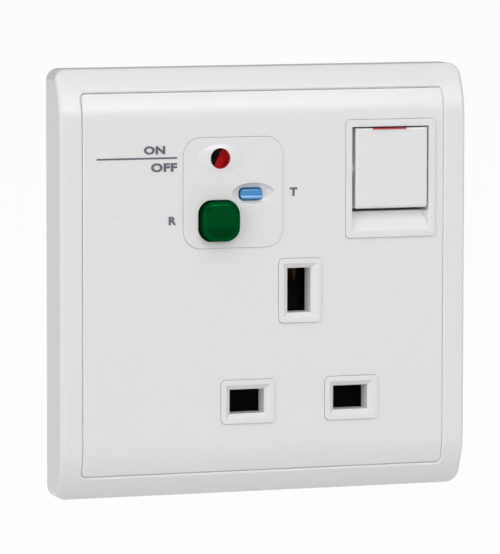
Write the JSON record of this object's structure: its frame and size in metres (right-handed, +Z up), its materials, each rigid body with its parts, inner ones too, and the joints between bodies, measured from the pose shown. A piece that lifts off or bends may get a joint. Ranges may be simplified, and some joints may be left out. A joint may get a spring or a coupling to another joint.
{
  "type": "residual current device socket",
  "caption": "Wall socket with rectangular pin apertures, a rocker switch, test and reset buttons, a trip flag and a clip-on curved cover.",
  "frame": {"origin": "centre of the plate on the wall plane, midway between the two wall fixing holes", "axes": "+X to the right and +Z up seen from the front, +Y into the wall; the socket faces -Y"},
  "size_m": [0.0864, 0.035, 0.0864],
  "materials": {
    "cover_white": "semi-gloss moulded urea, white",
    "module_white": "semi-gloss moulded white",
    "grey_moulding": "matt moulded, light grey",
    "black_moulding": "matt moulded, black",
    "green_plastic": "glossy moulded, green",
    "blue_plastic": "glossy moulded, blue",
    "red_plastic": "satin moulded, red",
    "clear_window": "clear polished",
    "brass": "bright brass",
    "copper": "enamelled copper",
    "zinc_steel": "zinc plated",
    "spring_steel": "drawn spring wire",
    "ferrite": "matt sintered",
    "laminate": "printed circuit laminate",
    "component_body": "moulded epoxy",
    "varistor_blue": "dipped epoxy"
  },
  "bodies": {
    "module": {"mounting_plate": "grey_moulding", "aperture_block": "module_white", "contact_shroud": "black_moulding", "rcd_panel": "module_white", "indicator_lens": "clear_window", "test_contact_strip": "brass", "switch_bezel": "module_white", "switch_fixed_contact": "brass", "switch_pivot_contact": "brass", "switch_bearer": "module_white", "rear_housing": "grey_moulding", "assembly_screws": "zinc_steel", "neutral_contact": "brass", "line_contact": "brass", "earth_contact": "brass", "clamp_screws": "zinc_steel", "earth_bar": "brass", "line_feed": "copper", "neutral_feed": "copper", "neutral_load": "copper", "line_load": "copper", "line_out": "copper", "mechanism_chassis": "black_moulding", "toroid_core": "ferrite", "toroid_winding": "copper", "latch_pin": "zinc_steel", "solenoid_bobbin": "black_moulding", "solenoid_coil": "copper", "solenoid_yoke": "zinc_steel", "circuit_board": "laminate", "smoothing_capacitor": "component_body", "test_resistor": "component_body", "surge_varistor": "varistor_blue", "trip_thyristor": "component_body", "rectifier_diodes": "component_body", "neutral_terminal": "brass", "earth_terminal": "brass", "line_terminal": "brass", "shutter_springs": "spring_steel", "reset_spring": "spring_steel", "test_spring": "spring_steel", "carrier_springs": "spring_steel"},
    "cover": {"surround_frame": "cover_white", "fascia": "cover_white"},
    "rocker": {"switch_rocker": "module_white", "on_stripe": "red_plastic"},
    "cradle": {"contact_cradle": "black_moulding", "switch_moving_contact": "brass"},
    "reset_key": {"reset_button": "green_plastic"},
    "test_key": {"test_button": "blue_plastic"},
    "flag": {"flag_black": "black_moulding", "flag_red": "red_plastic"},
    "carrier": {"contact_carrier": "black_moulding", "carrier_contacts": "brass"},
    "latch": {"trip_latch": "black_moulding"},
    "plunger": {"solenoid_plunger": "zinc_steel"},
    "shutter": {"shutter": "black_moulding"}
  },
  "joints": [
    {"name": "cover_slide", "type": "slide", "parent": "module", "child": "cover", "axis": [0, -1, 0], "range_m": [0, 0.015]},
    {"name": "rocker_hinge", "type": "hinge", "parent": "module", "child": "rocker", "pos_m": [0.02709, -0.0072, 0.02231], "axis": [-1, 0, 0], "range_deg": [0, 10]},
    {"name": "cradle_hinge", "type": "hinge", "parent": "module", "child": "cradle", "pos_m": [0.02709, 0.007, 0.02231], "axis": [1, 0, 0], "range_deg": [0, 10]},
    {"name": "reset_press", "type": "slide", "parent": "module", "child": "reset_key", "axis": [0, 1, 0], "range_m": [0, 0.0025], "stiffness_N_per_m": 600, "springref_m": -0.003, "deforming": ["reset_spring"]},
    {"name": "test_press", "type": "slide", "parent": "module", "child": "test_key", "axis": [0, 1, 0], "range_m": [0, 0.0012], "stiffness_N_per_m": 500, "springref_m": -0.003, "deforming": ["test_spring"]},
    {"name": "carrier_slide", "type": "slide", "parent": "module", "child": "carrier", "axis": [0, 1, 0], "range_m": [0, 0.003], "deforming": ["carrier_springs"]},
    {"name": "flag_hinge", "type": "hinge", "parent": "module", "child": "flag", "pos_m": [-0.01237, -0.0071, 0.01928], "axis": [0, 1, 0], "range_deg": [0, 26]},
    {"name": "latch_hinge", "type": "hinge", "parent": "module", "child": "latch", "pos_m": [0.0006, 0.0053, 0.01305], "axis": [0, 0, -1], "range_deg": [0, 10]},
    {"name": "plunger_slide", "type": "slide", "parent": "module", "child": "plunger", "axis": [1, 0, 0], "range_m": [0, 0.0009], "stiffness_N_per_m": 60, "springref_m": -0.001},
    {"name": "shutter_slide", "type": "slide", "parent": "module", "child": "shutter", "axis": [0, 0, -1], "range_m": [0, 0.0051], "stiffness_N_per_m": 150, "springref_m": -0.004, "deforming": ["shutter_springs"]}
  ],
  "couplings": [
    {"joint": "cradle_hinge", "follows": "rocker_hinge", "ratio": 1},
    {"joint": "flag_hinge", "follows": "carrier_slide", "rad_per_m": 151.25},
    {"joint": "latch_hinge", "follows": "plunger_slide", "rad_per_m": 192.31}
  ]
}
